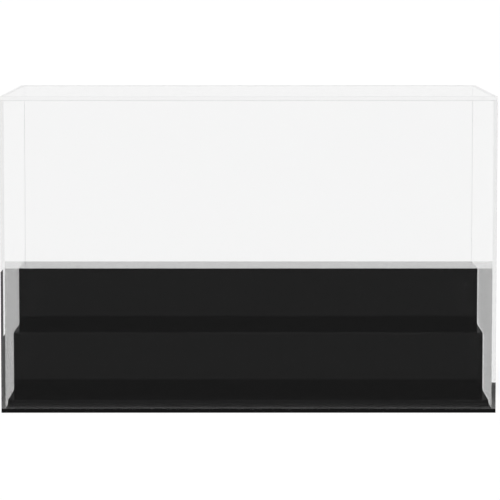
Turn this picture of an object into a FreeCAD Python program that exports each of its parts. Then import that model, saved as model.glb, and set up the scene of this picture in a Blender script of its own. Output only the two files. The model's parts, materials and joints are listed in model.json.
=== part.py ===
import FreeCAD, Part
import os

# Acrylic display box: a clear five-sided cover stands on a black base plate,
# over a loose black riser with two steps.
# Frame: +Z up, the front faces -Y, origin at the centre of the base plate's underside.

# Driving dimensions, in millimetres
CASE_WIDTH = 250.0
CASE_HEIGHT = 160.0
SHEET = 2.0                 # every panel is cut from sheet of this thickness

# Riser: three levels of equal depth, the lowest being its own floor panel
LEVELS = 3
STEP_DEPTH = 40.0
STEP_RISE = 30.0
FRONT_SPACE = 16.0          # bare base plate between the cover's front wall and the riser
BACK_SPACE = 10.0           # between the riser and the cover's back wall
SIDE_CLEARANCE = 0.15       # riser to cover wall, each side when centred, so that the cover drops over it
WALL_TOUCH = 0.02           # what is left of it at the left wall, where the loose riser stands
NOTCH_CLEARANCE = 0.05      # upper front to end panel, each side

# Polished edges
COVER_EDGE_RADIUS = 0.15
PLATE_EDGE_BREAK = 0.1

# Levels and planes that follow from them
CASE_DEPTH = SHEET + FRONT_SPACE + LEVELS * STEP_DEPTH + BACK_SPACE + SHEET
FRONT = -CASE_DEPTH / 2
BACK = CASE_DEPTH / 2
SIDE = CASE_WIDTH / 2
BASE_TOP = SHEET
COVER_WALL_TOP = CASE_HEIGHT - SHEET

RISER_SIDE = SIDE - SHEET - SIDE_CLEARANCE
RISER_OFFSET = WALL_TOUCH - SIDE_CLEARANCE
RISER_FRONT = FRONT + SHEET + FRONT_SPACE
LOWER_FACE = RISER_FRONT + STEP_DEPTH
UPPER_FACE = LOWER_FACE + STEP_DEPTH
RISER_BACK = UPPER_FACE + STEP_DEPTH
RISER_FLOOR_TOP = BASE_TOP + SHEET
LOWER_TREAD_TOP = RISER_FLOOR_TOP + STEP_RISE
UPPER_TREAD_TOP = LOWER_TREAD_TOP + STEP_RISE
LOWER_TREAD_UNDER = LOWER_TREAD_TOP - SHEET
UPPER_TREAD_UNDER = UPPER_TREAD_TOP - SHEET

SAME_PLANE = Part.Precision.confusion()


def vector(x, y, z):
    return FreeCAD.Vector(x, y, z)


def cut_panel(outline, thickness):
    """A panel cut from sheet: the closed outline, pushed through the sheet's thickness vector."""
    face = Part.Face(Part.makePolygon(outline + outline[:1]))
    return face.extrude(thickness)


def level_panel(half_width, front, back, under):
    """A panel lying flat, with its underside at the given height."""
    outline = [
        vector(-half_width, front, under),
        vector(half_width, front, under),
        vector(half_width, back, under),
        vector(-half_width, back, under),
    ]
    return cut_panel(outline, vector(0, 0, SHEET))


def upright_panel(half_width, front, bottom, top):
    """A panel standing across the case, with its front face at the given plane."""
    outline = [
        vector(-half_width, front, bottom),
        vector(half_width, front, bottom),
        vector(half_width, front, top),
        vector(-half_width, front, top),
    ]
    return cut_panel(outline, vector(0, SHEET, 0))


def side_panel(left, profile):
    """A panel standing front to back; profile is (y, z) pairs and left is its low-x plane."""
    outline = [vector(left, y, z) for y, z in profile]
    return cut_panel(outline, vector(SHEET, 0, 0))


def edges_at(shape, x=None, y=None, z=None):
    """The edges that lie in all the given planes. A plane at x stands for the one at -x too."""
    found = []
    for edge in shape.Edges:
        ends = [vertex.Point for vertex in edge.Vertexes]
        in_x = x is None or any(all(abs(p.x - side) < SAME_PLANE for p in ends) for side in (-x, x))
        in_y = y is None or all(abs(p.y - y) < SAME_PLANE for p in ends)
        in_z = z is None or all(abs(p.z - z) < SAME_PLANE for p in ends)
        if in_x and in_y and in_z:
            found.append(edge)
    return found


def make_base_plate():
    plate = level_panel(SIDE, FRONT, BACK, 0)
    return plate.makeChamfer(PLATE_EDGE_BREAK, plate.Edges)


def make_cover_front():
    panel = upright_panel(SIDE, FRONT, BASE_TOP, COVER_WALL_TOP)
    return panel.makeFillet(COVER_EDGE_RADIUS, edges_at(panel, x=SIDE, y=FRONT))


def make_cover_back():
    panel = upright_panel(SIDE, BACK - SHEET, BASE_TOP, COVER_WALL_TOP)
    return panel.makeFillet(COVER_EDGE_RADIUS, edges_at(panel, x=SIDE, y=BACK))


def make_cover_side(left):
    """A side wall, fitted between the front and back walls."""
    front_end = FRONT + SHEET
    back_end = BACK - SHEET
    profile = [
        (front_end, BASE_TOP),
        (back_end, BASE_TOP),
        (back_end, COVER_WALL_TOP),
        (front_end, COVER_WALL_TOP),
    ]
    return side_panel(left, profile)


def make_cover_top():
    """The top lies over all four walls, so its own edge shows all round."""
    panel = level_panel(SIDE, FRONT, BACK, COVER_WALL_TOP)
    corners = edges_at(panel, x=SIDE, y=FRONT) + edges_at(panel, x=SIDE, y=BACK)
    return panel.makeFillet(COVER_EDGE_RADIUS, edges_at(panel, z=CASE_HEIGHT) + corners)


def make_riser_floor():
    panel = level_panel(RISER_SIDE, RISER_FRONT, RISER_BACK, BASE_TOP)
    return panel.makeChamfer(PLATE_EDGE_BREAK, edges_at(panel, y=RISER_FRONT, z=RISER_FLOOR_TOP))


def make_riser_end(left):
    """A stepped end panel: it carries both treads and takes the upper front in its shoulder."""
    front_end = LOWER_FACE + SHEET
    back_end = RISER_BACK - SHEET
    shoulder = UPPER_FACE + SHEET
    profile = [
        (front_end, RISER_FLOOR_TOP),
        (back_end, RISER_FLOOR_TOP),
        (back_end, UPPER_TREAD_UNDER),
        (shoulder, UPPER_TREAD_UNDER),
        (shoulder, LOWER_TREAD_UNDER),
        (front_end, LOWER_TREAD_UNDER),
    ]
    return side_panel(left, profile)


def make_lower_front():
    return upright_panel(RISER_SIDE, LOWER_FACE, RISER_FLOOR_TOP, LOWER_TREAD_UNDER)


def make_upper_front():
    """Full width above the end panels' shoulders, notched at its lower corners to pass between them."""
    between_ends = RISER_SIDE - SHEET - NOTCH_CLEARANCE
    outline = [
        vector(-between_ends, UPPER_FACE, RISER_FLOOR_TOP),
        vector(between_ends, UPPER_FACE, RISER_FLOOR_TOP),
        vector(between_ends, UPPER_FACE, LOWER_TREAD_UNDER),
        vector(RISER_SIDE, UPPER_FACE, LOWER_TREAD_UNDER),
        vector(RISER_SIDE, UPPER_FACE, UPPER_TREAD_UNDER),
        vector(-RISER_SIDE, UPPER_FACE, UPPER_TREAD_UNDER),
        vector(-RISER_SIDE, UPPER_FACE, LOWER_TREAD_UNDER),
        vector(-between_ends, UPPER_FACE, LOWER_TREAD_UNDER),
    ]
    return cut_panel(outline, vector(0, SHEET, 0))


def make_riser_back():
    return upright_panel(RISER_SIDE, RISER_BACK - SHEET, RISER_FLOOR_TOP, UPPER_TREAD_UNDER)


def make_lower_tread():
    """Lies on the lower front and the end panels, and meets the face of the upper front."""
    panel = level_panel(RISER_SIDE, LOWER_FACE, UPPER_FACE, LOWER_TREAD_UNDER)
    return panel.makeChamfer(PLATE_EDGE_BREAK, edges_at(panel, y=LOWER_FACE, z=LOWER_TREAD_TOP))


def make_upper_tread():
    """Lies on the upper front, the end panels and the riser's back."""
    panel = level_panel(RISER_SIDE, UPPER_FACE, RISER_BACK, UPPER_TREAD_UNDER)
    front_edge = edges_at(panel, y=UPPER_FACE, z=UPPER_TREAD_TOP)
    back_edge = edges_at(panel, y=RISER_BACK, z=UPPER_TREAD_TOP)
    return panel.makeChamfer(PLATE_EDGE_BREAK, front_edge + back_edge)


def make_cover():
    return {
        "cover_front": make_cover_front(),
        "cover_back": make_cover_back(),
        "cover_left": make_cover_side(-SIDE),
        "cover_right": make_cover_side(SIDE - SHEET),
        "cover_top": make_cover_top(),
    }


def make_riser():
    """All panels of the riser, made centred and then pushed up to the cover's left wall."""
    panels = {
        "riser_floor": make_riser_floor(),
        "riser_left_end": make_riser_end(-RISER_SIDE),
        "riser_right_end": make_riser_end(RISER_SIDE - SHEET),
        "riser_back": make_riser_back(),
        "lower_front": make_lower_front(),
        "lower_tread": make_lower_tread(),
        "upper_front": make_upper_front(),
        "upper_tread": make_upper_tread(),
    }
    for panel in panels.values():
        panel.translate(vector(RISER_OFFSET, 0, 0))
    return panels


def make_parts():
    return {"base_plate": make_base_plate(), **make_cover(), **make_riser()}


os.makedirs("parts", exist_ok=True)
for node, shape in make_parts().items():
    shape.exportStep("parts/" + node + ".step")
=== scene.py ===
"""Looks for the acrylic display box: clear cover, black base plate and black stepped riser.

Lengths are in metres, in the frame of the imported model: +Z up, the stepped front faces -Y.
"""
import json
import math

import bpy
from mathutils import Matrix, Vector


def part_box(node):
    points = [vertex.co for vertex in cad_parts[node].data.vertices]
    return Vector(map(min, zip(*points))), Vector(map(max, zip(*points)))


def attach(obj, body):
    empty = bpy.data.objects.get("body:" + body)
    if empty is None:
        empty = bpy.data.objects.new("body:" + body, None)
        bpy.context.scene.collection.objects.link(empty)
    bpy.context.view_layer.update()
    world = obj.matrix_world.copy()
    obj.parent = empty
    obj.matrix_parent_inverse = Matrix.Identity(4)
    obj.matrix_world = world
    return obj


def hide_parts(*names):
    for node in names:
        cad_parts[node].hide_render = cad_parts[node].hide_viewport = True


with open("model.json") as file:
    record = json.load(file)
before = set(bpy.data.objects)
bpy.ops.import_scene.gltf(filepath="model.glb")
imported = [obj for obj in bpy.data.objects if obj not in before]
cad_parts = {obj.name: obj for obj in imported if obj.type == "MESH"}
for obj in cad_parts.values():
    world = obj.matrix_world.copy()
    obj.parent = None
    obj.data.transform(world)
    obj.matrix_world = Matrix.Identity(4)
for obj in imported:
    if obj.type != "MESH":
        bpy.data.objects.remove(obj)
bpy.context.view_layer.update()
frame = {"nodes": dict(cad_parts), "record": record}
nodes = frame["nodes"]

# Picture and camera
IMAGE_PIXELS = 500
FOCAL_PIXELS = 3062.0
SENSOR_MM = 36.0
CAMERA_PLACE = Vector((-0.00037, -1.61077, 0.22196))
CAMERA_PITCH = 0.09041    # radians, down from level
CAMERA_YAW = 0.00073      # radians, to the right

# Plain colours
WHITE = (1.0, 1.0, 1.0, 1.0)
BLACK = (0.0, 0.0, 0.0, 1.0)

# Studio. Spans, starts and rises are parts of a direction of length 1, with Y to the back and Z up
SEEN_LEVEL = 1.0
AMBIENT_LEVEL = 0.6
ROOM_LEVEL = 0.086
FRONT_FLOOR_LEVEL = 0.167
FLOOR_EDGE_SPAN = (-0.02, 0.02)
OVERHEAD_LEVEL = 0.7
OVERHEAD_START = 0.15
BACKDROP_SIDE_SPAN = (-0.1, 0.6)
BACKDROP_TOP_SPAN = (0.1, 0.118)
BACKDROP_SPAN = (-0.05, 0.08)
BACKDROP_LEVELS = (0.985, 1.04)
NEAR_FLOOR_SPAN = (-0.32, -0.17)
NEAR_FLOOR_LEVEL = 0.35
HORIZON_LEVEL = 0.877
HORIZON_RISE = 0.02
HORIZON_SPAN = (0.03, 0.065)    # above and below HORIZON_RISE
FLOOR_HALF = 30.0               # half of the floor's length and width
FLOOR_GLOW = 0.87
FLOOR_SHADE = 0.14
SUN_STRENGTH = 1.6
SUN_ANGLE = math.radians(50)
SUN_TILT = (math.radians(28), math.radians(-18), 0)
BOUNCES = 48

# Clear acrylic
ACRYLIC_IOR = 1.49
MIRROR_SHARE = 0.63       # of the full gloss; strips in line with the side walls have all of it
TRAPPED_SHARE = 0.98      # light that is mirrored by more than this share can't leave the sheet
ABSORPTION = 0.35         # density, for each metre of sheet that light goes through
CLEAR = (0.9977, 0.9977, 0.9977, 1.0)
CLEAR_GLOSS_RANGE = (0, 0.01)
JOINT_GAP = 0.00008       # seam that a bonded edge keeps
SEAT_GAP = 0.00002        # air under the front and back walls
CONTACT = 0.00002         # how far the side walls go into the base plate
WALL_TOUCH = 0.00004      # how far the left wall's inner face goes out, to touch the riser
ROUNDING_REACH = 0.0002   # more than the radius of the solids' rounding
ROUNDING_SHARE = 0.2      # of that radius is left on the panels
JOINT_DEPTH = 0.0001      # how far from a joint's plane its two faces may lie

# Wear on both kinds of sheet, as roughness; its span is in noise values
SMUDGE_SIZE = 0.05
HAIRLINE_SIZE = (0.2, 0.0011, 0.0011)
HAIRLINE_TURN = (0, math.radians(35), math.radians(50))
HAIRLINE_SPAN = (0.66, 0.74)
HAIRLINE_ROUGHNESS = 0.12

# Black acrylic
BLACK_LEVEL = 0.0005
BLACK_IOR = 1.55
BLACK_GLOSS_RANGE = (0.012, 0.05)
TOUCHED_ROUGHNESS = 0.65
# painted light: the colour that black touched by clear sheet takes for light inside the sheet, far above
# BLACK_LEVEL
PAINTED_CONTACT_LIGHT = 0.15
# painted light on the base plate's top, lightest where the front and back walls stand
PAINTED_GLOW_LEVEL = 0.115
PAINTED_GLOW_REACH = 0.045       # how far the painted light goes, from the seat's inner edge
PAINTED_GLOW_FALL = 7            # power of its share of the reach
# painted light on the riser's lowest upright faces, lighter at the bottom
LOW_PAINTED_GLOW_LEVEL = 0.016
FACING_SHARE = 0.9        # of a face's normal lies along the axis that the face looks along


def link(tree, start, end):
    tree.links.new(start, end)


def new_node(tree, kind, **settings):
    node = tree.nodes.new(kind)
    for name, value in settings.items():
        setattr(node, name, value)
    return node


def math_node(tree, operation, first, second=None):
    node = new_node(tree, "ShaderNodeMath", operation=operation)
    for socket, value in zip(node.inputs, (first, second)):
        if value is None:
            continue
        if isinstance(value, bpy.types.NodeSocket):
            link(tree, value, socket)
        else:
            socket.default_value = value
    return node.outputs["Value"]


def clean_material(name):
    material = bpy.data.materials.new(name)
    material.use_nodes = True
    material.node_tree.nodes.clear()
    return material, material.node_tree


def ramp_node(tree, value, span, levels):
    """A smooth step from one level to another while the value crosses the span."""
    node = new_node(tree, "ShaderNodeMapRange", interpolation_type="SMOOTHSTEP")
    link(tree, value, node.inputs["Value"])
    names = ("From Min", "From Max", "To Min", "To Max")
    for name, number in zip(names, (*span, *levels)):
        node.inputs[name].default_value = number
    return node.outputs["Result"]


def mix_node(tree, factor, first, second):
    node = new_node(tree, "ShaderNodeMix", data_type="FLOAT")
    for name, value in (("Factor", factor), ("A", first), ("B", second)):
        if isinstance(value, bpy.types.NodeSocket):
            link(tree, value, node.inputs[name])
        else:
            node.inputs[name].default_value = value
    return node.outputs["Result"]


def studio_level(tree):
    """What mirrored rays see: a grey floor, a dim room with a soft light overhead, and a low white backdrop
    behind the box. The backdrop brightens upwards, is a little darker along the floor's far edge, and
    darker again where its near end lies on the floor."""
    place = new_node(tree, "ShaderNodeTexCoord")
    way = new_node(tree, "ShaderNodeSeparateXYZ")
    link(tree, place.outputs["Generated"], way.inputs["Vector"])
    above = ramp_node(tree, way.outputs["Z"], (OVERHEAD_START, 1), (ROOM_LEVEL, OVERHEAD_LEVEL))
    off_floor = ramp_node(tree, way.outputs["Z"], FLOOR_EDGE_SPAN, (0, 1))
    room = mix_node(tree, off_floor, FRONT_FLOOR_LEVEL, above)
    behind = ramp_node(tree, way.outputs["Y"], BACKDROP_SIDE_SPAN, (0, 1))
    below_top = ramp_node(tree, way.outputs["Z"], BACKDROP_TOP_SPAN, (1, 0))
    off_edge = math_node(tree, "ABSOLUTE", math_node(tree, "SUBTRACT", way.outputs["Z"], HORIZON_RISE))
    far_edge = ramp_node(tree, off_edge, HORIZON_SPAN, (HORIZON_LEVEL, 1))
    white = ramp_node(tree, way.outputs["Z"], BACKDROP_SPAN, BACKDROP_LEVELS)
    near_floor = ramp_node(tree, way.outputs["Z"], NEAR_FLOOR_SPAN, (NEAR_FLOOR_LEVEL, 1))
    backdrop = math_node(tree, "MULTIPLY", white, math_node(tree, "MULTIPLY", far_edge, near_floor))
    return mix_node(tree, math_node(tree, "MULTIPLY", behind, below_top), room, backdrop)


def make_world():
    """White to the eye and straight through clear sheet; mirrored rays see the studio."""
    world = bpy.data.worlds.new("studio")
    bpy.context.scene.world = world
    world.use_nodes = True
    world.cycles.sampling_method = "NONE"
    tree = world.node_tree
    tree.nodes.clear()
    path = new_node(tree, "ShaderNodeLightPath")
    mirrored = math_node(tree, "GREATER_THAN", path.outputs["Glossy Depth"], 0)
    seen = mix_node(tree, mirrored, SEEN_LEVEL, studio_level(tree))
    eye = math_node(tree, "MAXIMUM", path.outputs["Is Camera Ray"], path.outputs["Is Glossy Ray"])
    eye = math_node(tree, "MAXIMUM", eye, path.outputs["Is Transmission Ray"])
    sky = new_node(tree, "ShaderNodeBackground")
    sky.inputs["Color"].default_value = WHITE
    link(tree, mix_node(tree, eye, AMBIENT_LEVEL, seen), sky.inputs["Strength"])
    out = new_node(tree, "ShaderNodeOutputWorld")
    link(tree, sky.outputs["Background"], out.inputs["Surface"])


def make_floor():
    """A plain white floor that keeps the shadow. Mirrored and bent rays pass it and see the world."""
    mesh = bpy.data.meshes.new("floor")
    corners = [(x * FLOOR_HALF, y * FLOOR_HALF, 0) for x, y in ((-1, -1), (1, -1), (1, 1), (-1, 1))]
    mesh.from_pydata(corners, [], [(0, 1, 2, 3)])
    floor = bpy.data.objects.new("floor", mesh)
    bpy.context.scene.collection.objects.link(floor)
    material, tree = clean_material("floor_white")
    glow = new_node(tree, "ShaderNodeEmission")
    path = new_node(tree, "ShaderNodeLightPath")
    glow_level = math_node(tree, "MULTIPLY", path.outputs["Is Camera Ray"], FLOOR_GLOW)
    link(tree, glow_level, glow.inputs["Strength"])
    shade = new_node(tree, "ShaderNodeBsdfDiffuse")
    shade.inputs["Color"].default_value = (FLOOR_SHADE, FLOOR_SHADE, FLOOR_SHADE, 1)
    both = new_node(tree, "ShaderNodeAddShader")
    link(tree, glow.outputs["Emission"], both.inputs[0])
    link(tree, shade.outputs["BSDF"], both.inputs[1])
    out = new_node(tree, "ShaderNodeOutputMaterial")
    link(tree, both.outputs["Shader"], out.inputs["Surface"])
    mesh.materials.append(material)
    floor.visible_glossy = False
    floor.visible_transmission = False


def make_sun():
    lamp = bpy.data.lights.new("soft_sun", "SUN")
    lamp.energy = SUN_STRENGTH
    lamp.angle = SUN_ANGLE
    sun = bpy.data.objects.new("soft_sun", lamp)
    sun.rotation_euler = SUN_TILT
    sun.visible_glossy = False
    sun.visible_transmission = False
    bpy.context.scene.collection.objects.link(sun)


def make_camera():
    data = bpy.data.cameras.new("camera")
    data.sensor_width = SENSOR_MM
    data.lens = FOCAL_PIXELS * SENSOR_MM / IMAGE_PIXELS
    data.clip_end = 2 * FLOOR_HALF
    camera = bpy.data.objects.new("camera", data)
    camera.location = CAMERA_PLACE
    camera.rotation_euler = (math.pi / 2 - CAMERA_PITCH, 0, -CAMERA_YAW)
    bpy.context.scene.collection.objects.link(camera)
    bpy.context.scene.camera = camera


def split_place(tree):
    """The place on a piece, at rest, in the shared frame."""
    place = new_node(tree, "ShaderNodeTexCoord")
    split = new_node(tree, "ShaderNodeSeparateXYZ")
    link(tree, place.outputs["Object"], split.inputs["Vector"])
    return split


def faces_along(tree, axis):
    """1 on faces that look along the axis, to either side, and 0 on the others."""
    side = new_node(tree, "ShaderNodeNewGeometry")
    split = new_node(tree, "ShaderNodeSeparateXYZ")
    link(tree, side.outputs["True Normal"], split.inputs["Vector"])
    return math_node(tree, "GREATER_THAN", math_node(tree, "ABSOLUTE", split.outputs[axis]), FACING_SHARE)


def worn_gloss(tree, gloss_range):
    """Roughness of handled gloss: broad smudges and sparse hairlines."""
    place = new_node(tree, "ShaderNodeTexCoord")
    smudge = new_node(tree, "ShaderNodeTexNoise")
    smudge.inputs["Scale"].default_value = 1 / SMUDGE_SIZE
    link(tree, place.outputs["Object"], smudge.inputs["Vector"])
    stretch = new_node(tree, "ShaderNodeMapping", vector_type="TEXTURE")
    stretch.inputs["Rotation"].default_value = HAIRLINE_TURN
    stretch.inputs["Scale"].default_value = HAIRLINE_SIZE
    link(tree, place.outputs["Object"], stretch.inputs["Vector"])
    hairline = new_node(tree, "ShaderNodeTexNoise")
    hairline.inputs["Scale"].default_value = 1
    link(tree, stretch.outputs["Vector"], hairline.inputs["Vector"])
    broad = ramp_node(tree, smudge.outputs["Fac"], (0, 1), gloss_range)
    fine = ramp_node(tree, hairline.outputs["Fac"], HAIRLINE_SPAN, (0, HAIRLINE_ROUGHNESS))
    return math_node(tree, "ADD", broad, fine)


def outer_wear(tree):
    """Wear as light outside the sheet finds it. Light inside is mirrored without blur."""
    side = new_node(tree, "ShaderNodeNewGeometry")
    outside = math_node(tree, "SUBTRACT", 1, side.outputs["Backfacing"])
    return math_node(tree, "MULTIPLY", outside, worn_gloss(tree, CLEAR_GLOSS_RANGE))


def side_strips(tree, place):
    """1 on faces in line with the side walls: their ends, and the outer strips of the other panels."""
    off_centre = math_node(tree, "ABSOLUTE", place.outputs["X"])
    in_line = math_node(tree, "GREATER_THAN", off_centre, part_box("cover_right")[0].x)
    crossing = math_node(tree, "SUBTRACT", 1, faces_along(tree, "X"))
    return math_node(tree, "MULTIPLY", in_line, crossing)


def back_bond(tree, place):
    """1 at the plane where the side walls' ends are bonded to the back wall."""
    off_plane = math_node(tree, "SUBTRACT", place.outputs["Y"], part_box("cover_back")[0].y)
    at_plane = math_node(tree, "LESS_THAN", math_node(tree, "ABSOLUTE", off_plane), JOINT_DEPTH)
    return math_node(tree, "MULTIPLY", at_plane, faces_along(tree, "Y"))


def polished_sheet(tree, strips):
    """A sheet's surface: it bends light and mirrors part of it, or all where light is trapped inside."""
    bend = new_node(tree, "ShaderNodeBsdfRefraction")
    bend.inputs["Color"].default_value = CLEAR
    bend.inputs["Roughness"].default_value = 0
    bend.inputs["IOR"].default_value = ACRYLIC_IOR
    mirror = new_node(tree, "ShaderNodeBsdfAnisotropic")
    mirror.inputs["Color"].default_value = WHITE
    link(tree, outer_wear(tree), mirror.inputs["Roughness"])
    gloss = new_node(tree, "ShaderNodeFresnel")
    gloss.inputs["IOR"].default_value = ACRYLIC_IOR
    trapped = math_node(tree, "GREATER_THAN", gloss.outputs["Fac"], TRAPPED_SHARE)
    part = math_node(tree, "MULTIPLY", gloss.outputs["Fac"], mix_node(tree, strips, MIRROR_SHARE, 1))
    sheet = new_node(tree, "ShaderNodeMixShader")
    link(tree, math_node(tree, "MAXIMUM", trapped, part), sheet.inputs["Fac"])
    link(tree, bend.outputs["BSDF"], sheet.inputs[1])
    link(tree, mirror.outputs["BSDF"], sheet.inputs[2])
    return sheet.outputs["Shader"]


def clear_acrylic():
    """Clear sheet. Light from lamps goes straight through, and so does all light at the back bonds."""
    material, tree = clean_material("clear_acrylic")
    place = split_place(tree)
    strips = side_strips(tree, place)
    bond = math_node(tree, "MULTIPLY", strips, back_bond(tree, place))
    path = new_node(tree, "ShaderNodeLightPath")
    lamp_ray = math_node(tree, "MAXIMUM", path.outputs["Is Shadow Ray"], path.outputs["Is Diffuse Ray"])
    passing = new_node(tree, "ShaderNodeBsdfTransparent")
    choice = new_node(tree, "ShaderNodeMixShader")
    link(tree, math_node(tree, "MAXIMUM", lamp_ray, bond), choice.inputs["Fac"])
    link(tree, polished_sheet(tree, strips), choice.inputs[1])
    link(tree, passing.outputs["BSDF"], choice.inputs[2])
    depth = new_node(tree, "ShaderNodeVolumeAbsorption")
    depth.inputs["Color"].default_value = BLACK
    depth.inputs["Density"].default_value = ABSORPTION
    out = new_node(tree, "ShaderNodeOutputMaterial")
    link(tree, choice.outputs["Shader"], out.inputs["Surface"])
    link(tree, depth.outputs["Volume"], out.inputs["Volume"])
    return material


def black_acrylic(name, added_painted_light):
    """Glossy black sheet. Light inside clear sheet, which is light that was bent an odd number of times,
    finds no gloss on the black that the sheet touches, and a much lighter colour there: painted light.
    added_painted_light makes a painted lightening of the black by place, from the material's tree and its
    split place."""
    material, tree = clean_material(name)
    path = new_node(tree, "ShaderNodeLightPath")
    in_sheet = math_node(tree, "MODULO", path.outputs["Transmission Depth"], 2)
    # painted light from the place is added to the black's own level
    level = math_node(tree, "ADD", added_painted_light(tree, split_place(tree)), BLACK_LEVEL)
    sheet = new_node(tree, "ShaderNodeBsdfPrincipled")
    sheet.inputs["IOR"].default_value = BLACK_IOR
    # painted light: light inside the clear sheet finds a much lighter colour on the black
    link(tree, mix_node(tree, in_sheet, level, PAINTED_CONTACT_LIGHT), sheet.inputs["Base Color"])
    roughness = mix_node(tree, in_sheet, worn_gloss(tree, BLACK_GLOSS_RANGE), TOUCHED_ROUGHNESS)
    link(tree, roughness, sheet.inputs["Roughness"])
    out = new_node(tree, "ShaderNodeOutputMaterial")
    link(tree, sheet.outputs["BSDF"], out.inputs["Surface"])
    return material


def low_painted_glow(tree, place):
    """Painted light on the riser's lowest upright edges, lightest at the base plate and gone at the floor
    panel's top.
    """
    low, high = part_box("riser_floor")
    # painted light: lighter towards the base plate
    low_glow = ramp_node(tree, place.outputs["Z"], (low.z, high.z), (LOW_PAINTED_GLOW_LEVEL, 0))
    return math_node(tree, "MULTIPLY", faces_along(tree, "Y"), low_glow)


def seat_painted_glow(tree, place):
    """Painted light on the base plate's top, lighter towards the lines where the front and back walls
    stand.
    """
    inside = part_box("cover_back")[0].y
    off_centre = math_node(tree, "ABSOLUTE", place.outputs["Y"])
    into_reach = math_node(tree, "SUBTRACT", off_centre, inside - PAINTED_GLOW_REACH)
    share = math_node(tree, "DIVIDE", math_node(tree, "MAXIMUM", into_reach, 0), PAINTED_GLOW_REACH)
    density = math_node(tree, "POWER", math_node(tree, "MINIMUM", share, 1), PAINTED_GLOW_FALL)
    # painted light: a lighter colour towards the walls' feet
    painted_glow = math_node(tree, "MULTIPLY", density, PAINTED_GLOW_LEVEL)
    return math_node(tree, "MULTIPLY", faces_along(tree, "Z"), painted_glow)


def fitted_panel(name, node, material, low_growth=(0, 0, 0), high_growth=(0, 0, 0)):
    """A cover panel after its solid, with a finer rounding. The growths, by axis, move the planes at its
    low and high ends outwards, or inwards where they are below 0."""
    mesh = nodes[node].data.copy()
    low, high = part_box(node)
    for vertex in mesh.vertices:
        for axis in range(3):
            from_low = vertex.co[axis] - low[axis]
            from_high = high[axis] - vertex.co[axis]
            if from_low < ROUNDING_REACH:
                vertex.co[axis] = low[axis] - low_growth[axis] + from_low * ROUNDING_SHARE
            elif from_high < ROUNDING_REACH:
                vertex.co[axis] = high[axis] + high_growth[axis] - from_high * ROUNDING_SHARE
    mesh.materials.clear()
    mesh.materials.append(material)
    panel = bpy.data.objects.new(name, mesh)
    bpy.context.scene.collection.objects.link(panel)
    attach(panel, "cover")
    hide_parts(node)


def make_cover():
    """The five panels. All walls keep a seam below the top, and the side walls one at each end too."""
    clear = clear_acrylic()
    wall_low = (0, 0, -SEAT_GAP)
    wall_high = (0, 0, -JOINT_GAP)
    side_low = (0, -JOINT_GAP, CONTACT)
    side_high = (0, -JOINT_GAP, -JOINT_GAP)
    left_high = (WALL_TOUCH, -JOINT_GAP, -JOINT_GAP)
    fitted_panel("front_wall", "cover_front", clear, wall_low, wall_high)
    fitted_panel("back_wall", "cover_back", clear, wall_low, wall_high)
    fitted_panel("left_wall", "cover_left", clear, side_low, left_high)
    fitted_panel("right_wall", "cover_right", clear, side_low, side_high)
    fitted_panel("top_panel", "cover_top", clear)


def dress(names, material):
    for name in names:
        for slot in nodes[name].material_slots:
            slot.material = material


def set_bounces():
    cycles = bpy.context.scene.cycles
    cycles.max_bounces = BOUNCES
    cycles.glossy_bounces = BOUNCES
    cycles.transmission_bounces = BOUNCES
    cycles.transparent_max_bounces = BOUNCES


bodies = frame["record"]["behaviour"]["bodies"]
bpy.context.scene.view_settings.view_transform = "Standard"
make_world()
make_floor()
make_sun()
make_camera()
set_bounces()
make_cover()
dress(bodies["base"], black_acrylic("base_acrylic", seat_painted_glow))
dress(bodies["riser"], black_acrylic("riser_acrylic", low_painted_glow))
